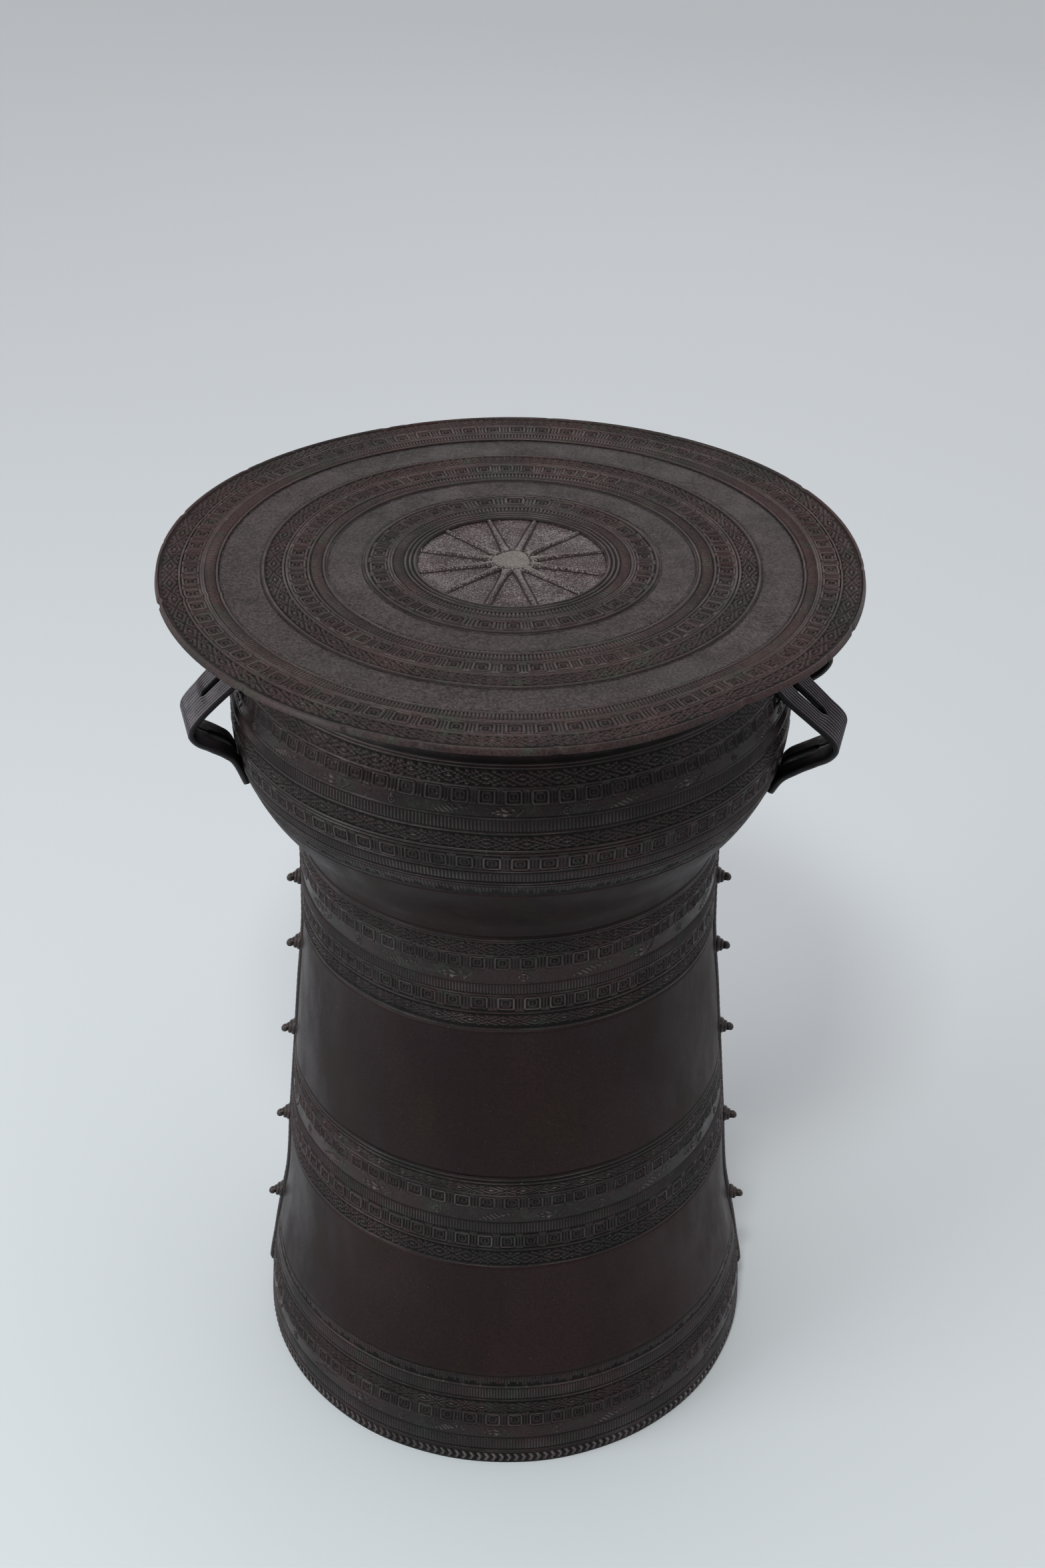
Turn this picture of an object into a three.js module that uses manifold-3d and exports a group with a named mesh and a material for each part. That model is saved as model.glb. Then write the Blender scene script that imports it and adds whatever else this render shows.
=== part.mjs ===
// Cast bronze rain drum: a flat head on a bulging mantle, a narrow waist flaring to an open foot,
// four slotted strap handles, and seam strips with snail-shell studs. Millimetres, +Z up, origin on
// the floor under the middle of the drum. The front is -Y, the left side is -X.
import * as THREE from 'three';
import { mergeVertices } from 'three/addons/utils/BufferGeometryUtils.js';
import Module from 'manifold-3d';

const wasm = await Module();
wasm.setup();

// ---- Driving dimensions -------------------------------------------------------------------

const drumHeight = 660;
const headRadius = 232;
const headThickness = 4;
const wall = 3.5;
const footRimWidth = 5;
const fitGap = 0.3;

// Mantle, measured down from the top of the head.
const mantleTopRadius = 173;
const bulgeRadius = 189;
const bulgeDepth = 102;
const neckRadius = 147;
const neckDepth = 200;

// Waist and foot, measured up from the floor.
const barrelRadius = 148.5;
const barrelDepth = 285;
const lowWaistRadius = 166.5;
const lowWaistHeight = 178;
const flareRadius = 180;
const flareHeight = 80;
const footRadius = 189;

// Head ornament: radii of the sunk plain rings and of the star field.
const outerPlainRing = { inner: 164, outer: 191 };
const innerPlainRing = { inner: 98, outer: 122 };
const starFieldRadius = 62;
const ringSink = 0.9;
const starSink = 2;
const starRays = 12;
const starRise = 1.8;
const bossRadius = 14.5;
const rayRootHalfWidth = 3.3;
const rayTipHalfWidth = 2;

// Handles: side profile of the strap, measured out from the mantle and down from the head.
const handleAngle = 15;
const strapWidth = 42;
const strapThickness = 4;
const strapProfiles = {
  left: { top: 38, upperRoot: 50, bend: 90, reach: 31, lowerRoot: 118, bottom: 139 },
  right: { top: 42, upperRoot: 59, bend: 96, reach: 35.5, lowerRoot: 127, bottom: 142 },
};
const slotWidth = 8;
const slotTipWidth = 2;
const slotClearOfBend = 13;
const legSplay = 0.12;
const splayLength = 25;
const lowerNarrowing = 0.15;
const narrowingLength = 20;

// Seam strips and snail studs.
const stripWidth = 12;
const stripRise = 2.5;
const stripTopDepth = 206;
const stripFootHeight = 24;
const mantleSeamTopDepth = 10;
const mantleSeamBottomDepth = 146;
const snailRadius = 7;
const snailRise = 8.5;
const snailDroop = 14;
const snailHeights = {
  left: [97, 179, 264, 345, 404],
  right: [98, 181, 269, 346, 408],
};

const ringSegments = 64;
const snailSegments = 12;

// ---- Finishes -----------------------------------------------------------------------------

const headBronze = { color: 0x4a4844, roughness: 0.62, metalness: 0.75 };
const bodyBronze = { color: 0x3a2f2f, roughness: 0.5, metalness: 0.8 };
const handleBronze = { color: 0x35353a, roughness: 0.48, metalness: 0.8 };
const seamBronze = { color: 0x2c2a2a, roughness: 0.55, metalness: 0.8 };

// ---- Helpers ------------------------------------------------------------------------------

// Turns a closed three.js geometry into a solid.
function toSolid(geometry) {
  const bare = geometry.index ? geometry.toNonIndexed() : geometry.clone();
  bare.deleteAttribute('normal');
  bare.deleteAttribute('uv');
  const merged = mergeVertices(bare, 1e-4);
  const mesh = new wasm.Mesh({
    numProp: 3,
    vertProperties: Float32Array.from(merged.attributes.position.array),
    triVerts: Uint32Array.from(merged.index.array),
  });
  return new wasm.Manifold(mesh);
}

function toGeometry(solid) {
  const mesh = solid.getMesh();
  const geometry = new THREE.BufferGeometry();
  geometry.setAttribute('position', new THREE.BufferAttribute(Float32Array.from(mesh.vertProperties), 3));
  geometry.setIndex(new THREE.BufferAttribute(Uint32Array.from(mesh.triVerts), 1));
  geometry.computeVertexNormals();
  return geometry;
}

// Revolves an outline of [radius, height] points about the drum's axis.
function revolve(outline, segments = ringSegments) {
  const points = outline.map(([radius, height]) => new THREE.Vector2(radius, height));
  const geometry = new THREE.LatheGeometry(points, segments);
  geometry.rotateX(Math.PI / 2);
  return toSolid(geometry);
}

// A flat shape in the radius-height plane, thickened sideways and centred on the XZ plane.
function slab(outline, width) {
  const shape = new THREE.Shape(outline.map(([radius, height]) => new THREE.Vector2(radius, height)));
  const geometry = new THREE.ExtrudeGeometry(shape, { depth: width, bevelEnabled: false });
  geometry.translate(0, 0, -width / 2);
  geometry.rotateX(Math.PI / 2);
  return toSolid(geometry);
}

function piece(name, geometry, finish) {
  const mesh = new THREE.Mesh(geometry, new THREE.MeshStandardMaterial(finish));
  mesh.name = name;
  return mesh;
}

// ---- Outer outline of the drum's body -----------------------------------------------------

const headUnderside = drumHeight - headThickness;
const neckHeight = drumHeight - neckDepth;
const bulgeHeight = drumHeight - bulgeDepth;

// The mantle swells from under the head to the bulge, then sweeps in to the neck.
function mantleOutline() {
  const shoulder = new THREE.CubicBezierCurve(
    new THREE.Vector2(mantleTopRadius, headUnderside),
    new THREE.Vector2(mantleTopRadius, headUnderside - 0.42 * (headUnderside - bulgeHeight)),
    new THREE.Vector2(bulgeRadius, bulgeHeight + 0.42 * (headUnderside - bulgeHeight)),
    new THREE.Vector2(bulgeRadius, bulgeHeight),
  );
  const cove = new THREE.CubicBezierCurve(
    new THREE.Vector2(bulgeRadius, bulgeHeight),
    new THREE.Vector2(bulgeRadius, bulgeHeight - 0.62 * (bulgeHeight - neckHeight)),
    new THREE.Vector2(neckRadius, neckHeight + 0.27 * (bulgeHeight - neckHeight)),
    new THREE.Vector2(neckRadius, neckHeight),
  );
  const points = [...shoulder.getPoints(5), ...cove.getPoints(9).slice(1)];
  return points.map((point) => [point.x, point.y]);
}

// The waist runs down from the neck, widens slowly, and flares to a nearly upright foot.
function waistOutline() {
  const barrelHeight = drumHeight - barrelDepth;
  const along = (share) => [
    barrelRadius + share * (lowWaistRadius - barrelRadius),
    barrelHeight + share * (lowWaistHeight - barrelHeight),
  ];
  const stations = [
    [neckRadius, neckHeight],
    [barrelRadius, barrelHeight],
    along(0.3),
    along(0.65),
    [lowWaistRadius, lowWaistHeight],
    [0.68 * lowWaistRadius + 0.32 * flareRadius, 0.5 * (lowWaistHeight + flareHeight)],
    [flareRadius, flareHeight],
    [footRadius - 1.5, 0.4 * flareHeight],
    [footRadius, 0],
  ];
  const curve = new THREE.SplineCurve(stations.map(([radius, height]) => new THREE.Vector2(radius, height)));
  return curve.getPoints(16).map((point) => [point.x, point.y]);
}

const mantleLine = mantleOutline();
const waistLine = waistOutline();

// Radius of an outline at a height, by straight lines between its points.
function radiusAt(outline, height) {
  for (let i = 0; i + 1 < outline.length; i += 1) {
    const [radiusA, heightA] = outline[i];
    const [radiusB, heightB] = outline[i + 1];
    if (height <= heightA && height >= heightB) {
      return radiusA + ((radiusB - radiusA) * (heightA - height)) / (heightA - heightB);
    }
  }
  return height > outline[0][1] ? outline[0][0] : outline[outline.length - 1][0];
}

// A shell between an outer outline and the same outline moved in by the wall. The inside takes every
// second point of the outside, and its top and bottom ends level with it.
function shell(outer, endWall) {
  const last = outer.length - 1;
  const kept = outer.filter((point, i) => i % 2 === 0 || i === last);
  const inner = kept.map(([radius, height], i) => [radius - (i === kept.length - 1 ? endWall : wall), height]);
  return revolve([...[...outer].reverse(), ...inner, outer[last]]);
}

// The outline filled to the axis and grown outwards by a gap, for cutting what sits on it.
function filled(outline, gap, above, below) {
  const grown = outline.map(([radius, height]) => [radius + gap, height]);
  const top = grown[0];
  const bottom = grown[grown.length - 1];
  return revolve([
    [0, bottom[1] - below],
    [bottom[0], bottom[1] - below],
    ...grown.reverse(),
    [top[0], top[1] + above],
    [0, top[1] + above],
  ]);
}

// ---- Head ---------------------------------------------------------------------------------

function starRelief() {
  const floor = drumHeight - starSink;
  const parts = [revolve([
    [0, floor - 1],
    [bossRadius, floor - 1],
    [bossRadius, floor + starRise],
    [0, floor + starRise],
  ], 2 * starRays)];
  const tip = starFieldRadius + 1;
  for (let i = 0; i < starRays; i += 1) {
    const shape = new THREE.Shape([
      new THREE.Vector2(bossRadius - 4, -rayRootHalfWidth),
      new THREE.Vector2(tip, -rayTipHalfWidth),
      new THREE.Vector2(tip, rayTipHalfWidth),
      new THREE.Vector2(bossRadius - 4, rayRootHalfWidth),
    ]);
    const ray = new THREE.ExtrudeGeometry(shape, { depth: 1 + starRise, bevelEnabled: false });
    ray.translate(0, 0, floor - 1);
    ray.rotateZ((2 * Math.PI * (i + 0.5)) / starRays);
    parts.push(toSolid(ray));
  }
  return parts.reduce((whole, part) => whole.add(part));
}

function drumHead() {
  const top = drumHeight;
  const ringFloor = drumHeight - ringSink;
  const starFloor = drumHeight - starSink;
  const plate = revolve([
    [0, headUnderside],
    [headRadius - 1, headUnderside],
    [headRadius, headUnderside + 1],
    [headRadius, top - 1],
    [headRadius - 1, top],
    [outerPlainRing.outer, top],
    [outerPlainRing.outer, ringFloor],
    [outerPlainRing.inner, ringFloor],
    [outerPlainRing.inner, top],
    [innerPlainRing.outer, top],
    [innerPlainRing.outer, ringFloor],
    [innerPlainRing.inner, ringFloor],
    [innerPlainRing.inner, top],
    [starFieldRadius, top],
    [starFieldRadius, starFloor],
    [0, starFloor],
  ]);
  return toGeometry(plate.add(starRelief()));
}

// ---- Shells -------------------------------------------------------------------------------

function mantle() {
  return toGeometry(shell(mantleLine, wall));
}

function waist() {
  return toGeometry(shell(waistLine, footRimWidth));
}

// ---- Handles ------------------------------------------------------------------------------

// Middle line of the strap: down the mantle, out and down to the bend, back in, and down again.
function strapLine(profile) {
  const { top, upperRoot, bend, reach, lowerRoot, bottom } = profile;
  const onMantle = (depth) => radiusAt(mantleLine, drumHeight - depth) + strapThickness / 2 - 1;
  const out = (share) => radiusAt(mantleLine, drumHeight - bend) + share * reach;
  const route = [
    [onMantle(top), top],
    [onMantle(upperRoot) + 1, upperRoot],
    [out(0.57), upperRoot + 0.65 * (bend - upperRoot)],
    [out(1), bend],
    [out(0.8), bend + 0.36 * (lowerRoot - bend)],
    [out(0.42), bend + 0.72 * (lowerRoot - bend)],
    [onMantle(lowerRoot) + 2, lowerRoot],
    [onMantle(bottom), bottom],
  ];
  return new THREE.SplineCurve(route.map(([radius, depth]) => new THREE.Vector2(radius, drumHeight - depth)));
}

function strapOutline(curve, steps) {
  const outer = [];
  const inner = [];
  for (let i = 0; i <= steps; i += 1) {
    const point = curve.getPoint(i / steps);
    const tangent = curve.getTangent(i / steps);
    const normal = new THREE.Vector2(-tangent.y, tangent.x).multiplyScalar(strapThickness / 2);
    outer.push([point.x + normal.x, point.y + normal.y]);
    inner.push([point.x - normal.x, point.y - normal.y]);
  }
  return [...outer, ...inner.reverse()];
}

// Where the slots end and the legs start to part, measured from the drum's axis.
function slotTip(profile) {
  return radiusAt(mantleLine, drumHeight - profile.bend) + profile.reach - slotClearOfBend;
}

// A wedge that opens from the slot's tip near the bend to its full width at the mantle.
function slotWedge(profile, bottomHeight, topHeight) {
  const root = mantleTopRadius - wall;
  const shape = new THREE.Shape([
    new THREE.Vector2(slotTip(profile), -slotTipWidth / 2),
    new THREE.Vector2(slotTip(profile), slotTipWidth / 2),
    new THREE.Vector2(root, slotWidth / 2),
    new THREE.Vector2(root, -slotWidth / 2),
  ]);
  const wedge = new THREE.ExtrudeGeometry(shape, { depth: topHeight - bottomHeight, bevelEnabled: false });
  wedge.translate(0, 0, bottomHeight);
  return toSolid(wedge);
}

function handle(profile) {
  const strap = slab(strapOutline(strapLine(profile), 20), strapWidth);
  const middle = drumHeight - profile.bend;
  const slotted = strap
    .subtract(slotWedge(profile, middle, drumHeight - profile.top + wall))
    .subtract(slotWedge(profile, drumHeight - profile.bottom - wall, middle));
  // The legs part towards the mantle, so the strap widens as it comes in. Below the bend it narrows.
  const share = (value) => Math.max(0, Math.min(1, value));
  return slotted.warp((vertex) => {
    const inwards = share((slotTip(profile) - vertex[0]) / splayLength);
    const below = share((middle - vertex[2]) / narrowingLength);
    vertex[1] *= (1 + legSplay * inwards) * (1 - lowerNarrowing * below);
  });
}

// ---- Seam strips and snail studs ----------------------------------------------------------

function stripOutline(outline, topHeight, bottomHeight, rise, steps) {
  const outer = [];
  const inner = [];
  for (let i = 0; i <= steps; i += 1) {
    const height = topHeight + ((bottomHeight - topHeight) * i) / steps;
    const radius = radiusAt(outline, height);
    outer.push([radius + rise, height]);
    inner.push([radius - 2, height]);
  }
  return [...outer, ...inner.reverse()];
}

const waistCutter = filled(waistLine, fitGap, 30, 10);
const mantleCutter = filled(mantleLine, fitGap, 2, 30);

function seamStrip() {
  const top = drumHeight - stripTopDepth;
  return slab(stripOutline(waistLine, top, stripFootHeight, stripRise, 22), stripWidth).subtract(waistCutter);
}

function mantleSeam() {
  const top = drumHeight - mantleSeamTopDepth;
  const bottom = drumHeight - mantleSeamBottomDepth;
  return slab(stripOutline(mantleLine, top, bottom, stripRise, 14), stripWidth).subtract(mantleCutter);
}

// A stepped spiral shell: three whorls and a round tip, pointing outwards and a little down.
function snail(height) {
  const base = radiusAt(waistLine, height);
  const whorl = (share, rise) => [snailRadius * share, snailRise * rise];
  const stem = stripRise + 6;
  const shellShape = revolve([
    [0, -stem],
    [snailRadius, -stem],
    whorl(1, 0.12),
    whorl(0.74, 0.34),
    whorl(0.78, 0.46),
    whorl(0.5, 0.64),
    whorl(0.46, 0.86),
    whorl(0.22, 1),
    [0, snailRise],
  ], snailSegments);
  const turned = shellShape.rotate([0, 90 + snailDroop, 0]).translate([base + stripRise, 0, height]);
  const stripRoom = slab(
    stripOutline(waistLine, drumHeight - stripTopDepth, stripFootHeight, stripRise + fitGap, 22),
    stripWidth + 2 * fitGap,
  );
  return turned.subtract(stripRoom).subtract(waistCutter);
}

// ---- Assembly -----------------------------------------------------------------------------

const drum = new THREE.Group();
drum.add(piece('drum_head', drumHead(), headBronze));
drum.add(piece('mantle', mantle(), bodyBronze));
drum.add(piece('waist', waist(), bodyBronze));

const sides = [['left', 180], ['right', 0]];
for (const [side, angle] of sides) {
  const front = side === 'left' ? angle + handleAngle : angle - handleAngle;
  const rear = side === 'left' ? angle - handleAngle : angle + handleAngle;
  for (const [place, turn] of [['front', front], ['rear', rear]]) {
    const solid = handle(strapProfiles[side]).rotate([0, 0, turn]).subtract(mantleCutter);
    drum.add(piece(`handle_${side}_${place}`, toGeometry(solid), handleBronze));
  }
  drum.add(piece(`seam_strip_${side}`, toGeometry(seamStrip().rotate([0, 0, angle])), seamBronze));
  drum.add(piece(`mantle_seam_${side}`, toGeometry(mantleSeam().rotate([0, 0, angle])), seamBronze));
  snailHeights[side].forEach((height, i) => {
    const solid = snail(height).rotate([0, 0, angle]);
    drum.add(piece(`snail_${side}_${i + 1}`, toGeometry(solid), seamBronze));
  });
}

export default drum;
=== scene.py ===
import math

import bpy
import numpy as np
from mathutils import Matrix, Vector


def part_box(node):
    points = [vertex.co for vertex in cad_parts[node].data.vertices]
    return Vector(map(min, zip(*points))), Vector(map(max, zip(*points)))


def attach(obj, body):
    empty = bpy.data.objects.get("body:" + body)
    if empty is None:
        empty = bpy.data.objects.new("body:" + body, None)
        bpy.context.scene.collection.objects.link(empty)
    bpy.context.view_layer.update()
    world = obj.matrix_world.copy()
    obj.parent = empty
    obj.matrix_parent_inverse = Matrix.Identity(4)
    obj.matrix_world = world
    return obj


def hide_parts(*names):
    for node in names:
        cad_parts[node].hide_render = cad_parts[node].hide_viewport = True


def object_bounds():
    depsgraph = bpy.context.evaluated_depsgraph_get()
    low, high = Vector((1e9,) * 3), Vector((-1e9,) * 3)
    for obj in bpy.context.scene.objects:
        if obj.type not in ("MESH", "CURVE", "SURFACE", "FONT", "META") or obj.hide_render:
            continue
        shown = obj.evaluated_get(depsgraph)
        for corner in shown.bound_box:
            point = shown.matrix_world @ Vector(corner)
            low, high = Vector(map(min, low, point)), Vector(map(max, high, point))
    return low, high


# %% [markdown]
# # A cast bronze rain drum
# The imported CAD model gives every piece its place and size. This lesson dresses it: each shell is a
# fine grid that carries the ornament a caster pressed into wax, and each finish is mixed from nodes.

# %% Load the frame
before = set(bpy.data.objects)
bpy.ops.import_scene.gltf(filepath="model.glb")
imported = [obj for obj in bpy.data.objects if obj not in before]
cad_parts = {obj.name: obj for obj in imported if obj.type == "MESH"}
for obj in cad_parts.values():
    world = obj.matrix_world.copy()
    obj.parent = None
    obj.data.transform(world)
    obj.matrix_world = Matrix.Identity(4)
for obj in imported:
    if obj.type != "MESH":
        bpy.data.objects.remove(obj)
cad_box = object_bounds()
MM = 0.001


def unit(value):
    """value held between 0 and 1."""
    return np.clip(value, 0, 1)


def new_object(name, data):
    """An object that shows data, linked into the scene."""
    item = bpy.data.objects.new(name, data)
    bpy.context.scene.collection.objects.link(item)
    return item


low_corner, high_corner = (Vector(corner) for corner in cad_box)
head_top = high_corner.z
floor_level = low_corner.z
print("drum height in mm:", round((head_top - floor_level) / MM, 1))

# %% [markdown]
# ## The camera
# The camera stands in front of the drum at a person's eye height and looks down on it. A Track To
# constraint could aim it, but three angles are easier to repeat exactly: pitch tips it down, roll and
# yaw are the small errors of a camera held by hand.

# %% Camera
head_radius = max(abs(value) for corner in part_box("drum_head") for value in corner[:2])
EYE_BACK, EYE_UP = 5.502, 2.8415
PITCH, ROLL, YAW = 0.5793, -0.0129, -0.0069


def camera_turn(pitch, roll, yaw):
    """Right, down and forward of a level camera tipped down by pitch, then rolled in its own
    picture plane, then swung about the upright axis by yaw."""
    right = Vector((1.0, 0.0, 0.0))
    down = Vector((0.0, -math.sin(pitch), -math.cos(pitch)))
    forward = Vector((0.0, math.cos(pitch), -math.sin(pitch)))
    picture_right = math.cos(roll) * right + math.sin(roll) * down
    picture_down = -math.sin(roll) * right + math.cos(roll) * down
    turn = Matrix((picture_right, -picture_down, -forward)).transposed()
    return Matrix.Rotation(yaw, 3, "Z") @ turn


lens = bpy.data.cameras.new("studio_camera")
lens.lens = 50
lens.sensor_width = 36
lens.sensor_fit = "AUTO"
camera = new_object("studio_camera", lens)
eye = Vector((0, -EYE_BACK * head_radius, head_top + EYE_UP * head_radius))
camera.matrix_world = Matrix.Translation(eye) @ camera_turn(PITCH, ROLL, YAW).to_4x4()
bpy.context.scene.camera = camera
print("camera at", [round(value, 3) for value in eye])

# %% [markdown]
# ## Small tools for nodes
# Light and finishes are built from shader nodes. A few short functions keep that readable: one adds a
# node and wires its inputs, the others wrap the nodes that come back often.

# %% Node helpers


def add(tree, kind, inputs=(), **settings):
    """One shader node. settings are its own properties; inputs maps a socket to a value or a socket."""
    node = tree.nodes.new("ShaderNode" + kind)
    for key, value in settings.items():
        setattr(node, key, value)
    for key, value in dict(inputs).items():
        if isinstance(value, bpy.types.NodeSocket):
            tree.links.new(value, node.inputs[key])
        else:
            node.inputs[key].default_value = value
    return node


def blend_colour(tree, share, first, second):
    """Colour between first and second. Sockets 0, 6 and 7 are a Mix node's factor and two colours."""
    return add(tree, "Mix", {0: share, 6: first, 7: second}, data_type="RGBA").outputs[2]


def span(tree, value, low, high, to_low=0.0, to_high=1.0):
    """value moved from low..high to to_low..to_high, clipped and eased at both ends."""
    return add(tree, "MapRange", {0: value, 1: low, 2: high, 3: to_low, 4: to_high},
               interpolation_type="SMOOTHSTEP").outputs[0]


def sum_up(tree, operation, *values):
    """One Math node over its values."""
    return add(tree, "Math", dict(enumerate(values)), operation=operation).outputs[0]


def cloud(tree, vector, scale, detail, roughness):
    """Noise from 0 to 1 about one over scale metres across."""
    return add(tree, "TexNoise", {"Vector": vector, "Scale": scale, "Detail": detail,
                                  "Roughness": roughness}).outputs[0]


def new_group(name, inputs, outputs):
    """An empty shader group. inputs and outputs map a kind of socket to its labels. Returns the tree
    and the sockets of its two end nodes."""
    tree = bpy.data.node_groups.new(name, "ShaderNodeTree")
    for side, sockets in (("INPUT", inputs), ("OUTPUT", outputs)):
        for kind, labels in sockets.items():
            for label in labels:
                tree.interface.new_socket(label, in_out=side, socket_type="NodeSocket" + kind)
    return tree, tree.nodes.new("NodeGroupInput").outputs, tree.nodes.new("NodeGroupOutput").inputs


# %% [markdown]
# ## Floor and light
# The finish is dark and a little glossy, so it shows mostly what it reflects. A pale floor and a pale
# surround do most of the work, and large soft lamps draw the bright edges of the ridges. Hard lamps
# would draw small white dots instead.

# %% Floor and light
pale_floor = bpy.data.materials.new("pale_floor")
pale_floor.use_nodes = True
floor_shader = pale_floor.node_tree.nodes["Principled BSDF"].inputs
floor_shader["Base Color"].default_value = (0.53, 0.60, 0.62, 1)
floor_shader["Roughness"].default_value = 0.6
FLOOR_HALF = 14.0
floor_mesh = bpy.data.meshes.new("studio_floor")
floor_mesh.from_pydata([(x * FLOOR_HALF, y * FLOOR_HALF, floor_level)
                        for x, y in ((-1, -1), (1, -1), (1, 1), (-1, 1))], [], [(0, 1, 2, 3)])
studio_floor = new_object("studio_floor", floor_mesh)
floor_mesh.materials.append(pale_floor)


LAMP_AIM = Vector((0, 0, 0.4))


def soft_lamp(name, place, size, power, colour):
    """A square area lamp at place, turned so that it shines at LAMP_AIM."""
    light = bpy.data.lights.new(name, "AREA")
    light.size = size
    light.energy = power
    light.color = colour
    lamp = new_object(name, light)
    turn = (LAMP_AIM - Vector(place)).to_track_quat("-Z", "Y")
    lamp.matrix_world = Matrix.Translation(place) @ turn.to_matrix().to_4x4()


soft_lamp("window_lamp", (-2.3, -1.1, 1.5), 1.5, 34, (1.0, 0.97, 0.98))
soft_lamp("ceiling_lamp", (-0.3, -1.5, 3.0), 0.45, 42, (1.0, 0.98, 0.96))
soft_lamp("wall_lamp", (0.6, 2.8, 2.0), 2.2, 7, (1.0, 0.97, 0.98))
print("lamps:", [lamp.name for lamp in bpy.data.lights])
bpy.context.scene.view_settings.view_transform = "Standard"

# %% [markdown]
# The room is a world shader: bright behind the drum and to its sides, as pale walls and a window are,
# and dim where a person would stand, so the drum's front stays dark while its edges shine. The camera
# itself sees one even pale tone past the floor.

# %% Room light
LEAST_LIGHT = 0.14
SEEN_LIGHT = 0.74
room = bpy.data.worlds.new("pale_room")
bpy.context.scene.world = room
room.use_nodes = True
tree = room.node_tree
room_light = tree.nodes["Background"]
toward = add(tree, "SeparateXYZ",
             {0: add(tree, "TexCoord").outputs["Generated"]}).outputs
low_part = span(tree, toward[2], 0.15, 0.60, 1.0, 0.30)
behind = sum_up(tree, "MULTIPLY", span(tree, toward[1], -0.1, 0.9, 0.0, 1.0), low_part)
window_side = span(tree, sum_up(tree, "MULTIPLY", toward[0], -1.0), 0.1, 0.9, 0.0, 0.70)
far_side = span(tree, toward[0], 0.3, 0.95, 0.0, 0.80)
overhead = span(tree, toward[2], 0.70, 1.0, 0.0, 0.90)
sides = sum_up(tree, "ADD", window_side, far_side)
strength = sum_up(tree, "ADD", sum_up(tree, "ADD", behind, sides), overhead)
seen = add(tree, "LightPath").outputs["Is Camera Ray"]
shown = add(tree, "Mix", {0: seen, 2: sum_up(tree, "ADD", strength, LEAST_LIGHT),
                                       3: SEEN_LIGHT})
tree.links.new(shown.outputs[0], room_light.inputs["Strength"])
tree.links.new(blend_colour(tree, seen, (1.0, 0.93, 0.945, 1), (0.90, 0.96, 1.0, 1)),
               room_light.inputs["Color"])

# %% [markdown]
# ## Reading the drum's outline
# The shells are turned solids, so their outer face is one line of radius against height. It could be
# typed in again, but reading it from the CAD solids keeps the two models together. Faces that look away
# from the axis give the points, and a smooth curve through them gives the rows between.

# %% Outline of the shells


def corners_of(mesh):
    """All corners of a mesh, in metres."""
    corners = np.empty(len(mesh.vertices) * 3, np.float32)
    mesh.vertices.foreach_get("co", corners)
    return corners.reshape(-1, 3).astype(float)


def outline_of(node):
    """Heights and outer radii of a turned solid, in millimetres, from the corners of all faces whose
    normal points away from the axis."""
    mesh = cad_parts[node].data
    triangles = np.empty(len(mesh.polygons) * 3, np.int32)
    mesh.polygons.foreach_get("vertices", triangles)
    triangles = corners_of(mesh)[triangles.reshape(-1, 3)]
    normal = np.cross(triangles[:, 1] - triangles[:, 0], triangles[:, 2] - triangles[:, 0])
    middle = triangles.mean(1)
    outward = (normal[:, :2] * middle[:, :2]).sum(1)
    chosen = triangles[outward > 0.25 * np.linalg.norm(normal, axis=1) * np.hypot(*middle[:, :2].T)]
    height = np.round(chosen[:, :, 2].ravel() / MM, 1)
    radius = np.hypot(chosen[:, :, 0], chosen[:, :, 1]).ravel() / MM
    levels = np.unique(height)
    return levels, np.array([radius[height == level].max() for level in levels])


def smooth_line(x, knots, values):
    """Cubic Hermite curve through the knots. Each slope is the harmonic mean of the slopes on its two
    sides, or zero where they change sign, so the curve never swings past a knot."""
    steps = np.diff(values) / np.diff(knots)
    slopes = np.zeros_like(values)
    same_way = steps[:-1] * steps[1:] > 0
    slopes[1:-1] = np.where(same_way, 2 * steps[:-1] * steps[1:] / (steps[:-1] + steps[1:] + 1e-12), 0)
    slopes[0], slopes[-1] = steps[0], steps[-1]
    i = np.clip(np.searchsorted(knots, x) - 1, 0, len(knots) - 2)
    reach = knots[i + 1] - knots[i]
    t = unit((x - knots[i]) / reach)
    return (values[i] * (1 + 2 * t) * (1 - t) ** 2 + values[i + 1] * t * t * (3 - 2 * t)
            + reach * (slopes[i] * t * (1 - t) ** 2 - slopes[i + 1] * t * t * (1 - t)))


mantle_line = outline_of("mantle")
waist_line = outline_of("waist")
HEAD_TOP = head_top / MM
FLOOR = floor_level / MM
NECK = waist_line[0][-1]
HEAD_UNDERSIDE = mantle_line[0][-1]


def body_radius(height):
    """Outer radius of mantle or waist at a height, both in millimetres."""
    height = np.asarray(height, float)
    return np.where(height >= NECK, smooth_line(height, *mantle_line), smooth_line(height, *waist_line))


print("neck", NECK, "head underside", HEAD_UNDERSIDE, "bulge", round(float(mantle_line[1].max()), 1))

# %% [markdown]
# ## One way to make a skin
# Every piece is a grid of points, rows along it and columns around it. The columns wrap round. The rows
# join up too, as in a ring, or each end is closed with a fan. Subdivision would round the stamps away,
# so the grid is as fine as the ornament needs.

# %% Skin from a grid of points


def around(columns):
    """One turn as a row of equal steps: 2 pi k / columns."""
    return (np.arange(columns) * math.tau / columns)[None, :]


def turned(radius, angle, height):
    """Points of a turned surface: x = radius cos(angle), y = radius sin(angle), z = height."""
    return np.stack(np.broadcast_arrays(radius * np.cos(angle), radius * np.sin(angle), height), -1)


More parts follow.
